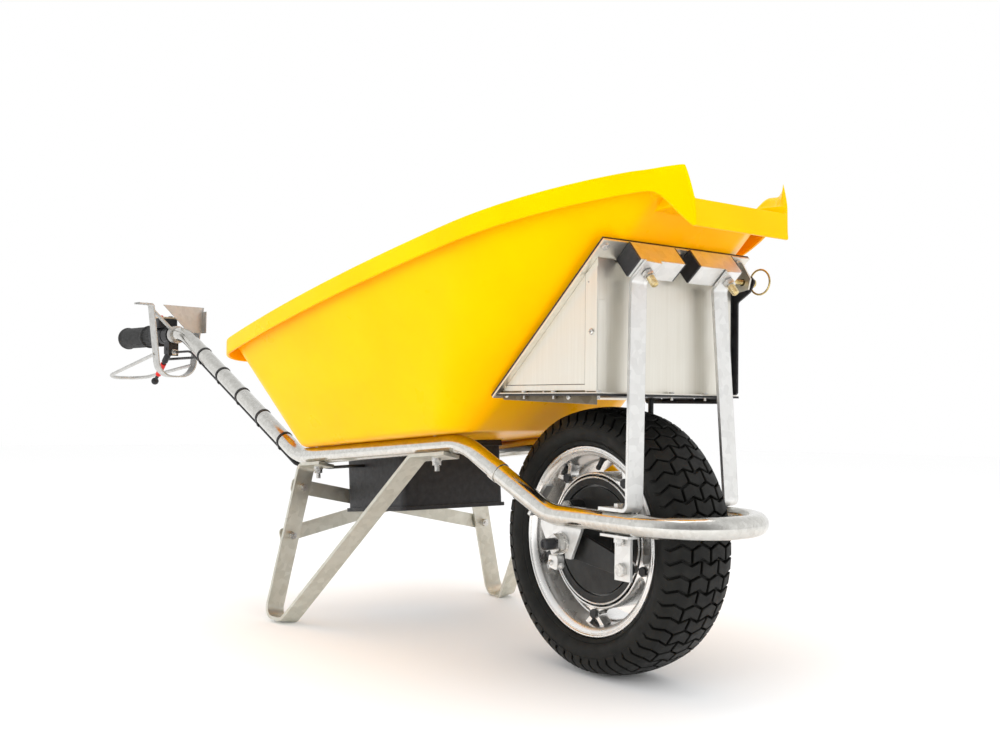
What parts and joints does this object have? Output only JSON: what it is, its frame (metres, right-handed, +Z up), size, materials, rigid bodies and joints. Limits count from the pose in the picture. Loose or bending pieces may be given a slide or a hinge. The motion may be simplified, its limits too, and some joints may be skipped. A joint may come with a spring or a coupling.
{
  "type": "electric wheelbarrow",
  "caption": "Wheelbarrow with a deep pouring tray on a bent tube frame, a powered wheel with drum brake, battery box, control housing and twist throttle.",
  "frame": {"origin": "on the ground under the middle of the whole barrow", "axes": "+X forward to the wheel, +Y to the user's left, +Z up"},
  "size_m": [1.7104, 0.6964, 0.732],
  "materials": {
    "galvanised_steel": "galvanised",
    "fastener_steel": "zinc plated",
    "housing_aluminium": "mill finish",
    "dark_sheet": "satin black",
    "tray_yellow": "moulded gloss",
    "black_plastic": "matte",
    "black_rubber": "matte",
    "tyre_rubber": "matte",
    "rim_alloy": "polished",
    "hub_black": "satin black",
    "lever_black": "satin black",
    "lever_red": "gloss",
    "yellow_zinc": "yellow zinc",
    "panel_tan": "satin",
    "button_red": "gloss",
    "button_grey": "gloss",
    "cast_iron": "cast",
    "magnet_nickel": "plated",
    "copper": "enamelled",
    "controller_case": "cast",
    "pack_wrap": "wrapped"
  },
  "bodies": {
    "frame": {"handle_tubes": "galvanised_steel", "nose_loop": "galvanised_steel", "splices": "galvanised_steel", "right_leg": "galvanised_steel", "left_leg": "galvanised_steel", "braces": "galvanised_steel", "struts": "galvanised_steel", "blocks": "galvanised_steel", "guard": "galvanised_steel", "frame_brackets": "galvanised_steel", "leg_fasteners": "fastener_steel", "strut_fasteners": "fastener_steel", "housing_fasteners": "fastener_steel", "battery_fasteners": "fastener_steel", "axle_nuts": "fastener_steel", "cable_ends": "fastener_steel", "axle": "fastener_steel", "housing_plate": "housing_aluminium", "housing_shell": "housing_aluminium", "housing_pan": "dark_sheet", "tray": "tray_yellow", "block_caps": "black_plastic", "axle_cap": "black_plastic", "battery_box": "black_plastic", "battery_lid": "black_plastic", "display_box": "black_plastic", "throttle_clamp": "black_plastic", "cable_ties": "black_plastic", "gasket": "black_rubber", "grips": "black_rubber", "brake_cable": "black_rubber", "wiring": "black_rubber", "brake_plate": "hub_black", "lever_perch": "lever_black", "battery_terminals": "yellow_zinc", "display_face": "panel_tan", "stator": "cast_iron", "windings": "copper", "motor_controller": "controller_case", "battery_pack": "pack_wrap"},
    "wheel": {"tyre": "tyre_rubber", "rim": "rim_alloy", "hub_shell": "hub_black", "hub_cover": "hub_black", "bearings": "fastener_steel", "magnets": "magnet_nickel", "drum_liner": "cast_iron", "hub_bolts": "fastener_steel"},
    "brake_lever": {"brake_lever": "lever_black", "lever_sleeve": "lever_red"},
    "brake_arm": {"brake_arm": "fastener_steel"},
    "brake_wire": {"brake_wire": "fastener_steel"},
    "shoe_rear": {"shoe_rear": "cast_iron"},
    "shoe_front": {"shoe_front": "cast_iron"},
    "throttle": {"throttle_sleeve": "black_rubber"},
    "door": {"door": "black_plastic"},
    "lynch_pin": {"lynch_pin": "yellow_zinc"},
    "lynch_ring": {"lynch_ring": "yellow_zinc"},
    "power_button": {"power_button": "button_red"},
    "mode_button": {"mode_button": "button_grey"}
  },
  "joints": [
    {"name": "wheel_spin", "type": "hinge", "parent": "frame", "child": "wheel", "pos_m": [0.58719, 0.01897, 0.205], "axis": [0, 1, 0], "continuous": true},
    {"name": "lever_pull", "type": "hinge", "parent": "frame", "child": "brake_lever", "pos_m": [-0.62414, -0.25542, 0.533], "axis": [-0.1463, 0.9892, 0], "range_deg": [0, 18], "stiffness_Nm_per_rad": 1},
    {"name": "brake_cam_turn", "type": "hinge", "parent": "frame", "child": "brake_arm", "pos_m": [0.55277, -0.04703, 0.25415], "axis": [0, 1, 0], "range_deg": [0, 10.1]},
    {"name": "brake_wire_pull", "type": "slide", "parent": "frame", "child": "brake_wire", "axis": [-0.8003, -0.2238, 0.5562], "range_m": [0, 0.0069]},
    {"name": "shoe_rear_open", "type": "hinge", "parent": "frame", "child": "shoe_rear", "pos_m": [0.6216, 0.00397, 0.15585], "axis": [0, -1, 0], "range_deg": [0, 0.61]},
    {"name": "shoe_front_open", "type": "hinge", "parent": "frame", "child": "shoe_front", "pos_m": [0.6216, 0.00397, 0.15585], "axis": [0, 1, 0], "range_deg": [0, 0.61]},
    {"name": "throttle_twist", "type": "hinge", "parent": "frame", "child": "throttle", "pos_m": [-0.72009, -0.26962, 0.565], "axis": [-0.9892, -0.1463, 0], "range_deg": [0, 60], "stiffness_Nm_per_rad": 0.3},
    {"name": "door_open", "type": "hinge", "parent": "frame", "child": "door", "pos_m": [0.58719, 0.16447, 0.42], "axis": [-1, 0, 0], "range_deg": [0, 110]},
    {"name": "lynch_pin_pull", "type": "slide", "parent": "door", "child": "lynch_pin", "axis": [0, 1, 0], "range_m": [0, 0.045]},
    {"name": "lynch_ring_turn", "type": "hinge", "parent": "lynch_pin", "child": "lynch_ring", "pos_m": [0.72719, 0.17347, 0.603], "axis": [0, 0, 1], "range_deg": [0, 75]},
    {"name": "power_button_press", "type": "slide", "parent": "frame", "child": "power_button", "axis": [0, 0, -1], "range_m": [0, 0.002], "stiffness_N_per_m": 300},
    {"name": "mode_button_press", "type": "slide", "parent": "frame", "child": "mode_button", "axis": [0, 0, -1], "range_m": [0, 0.002], "stiffness_N_per_m": 300}
  ],
  "couplings": [
    {"joint": "brake_cam_turn", "follows": "lever_pull", "ratio": 0.55556},
    {"joint": "brake_wire_pull", "follows": "lever_pull", "m_per_rad": 0.021868},
    {"joint": "shoe_rear_open", "follows": "lever_pull", "ratio": 0.033333},
    {"joint": "shoe_front_open", "follows": "lever_pull", "ratio": 0.033333}
  ]
}
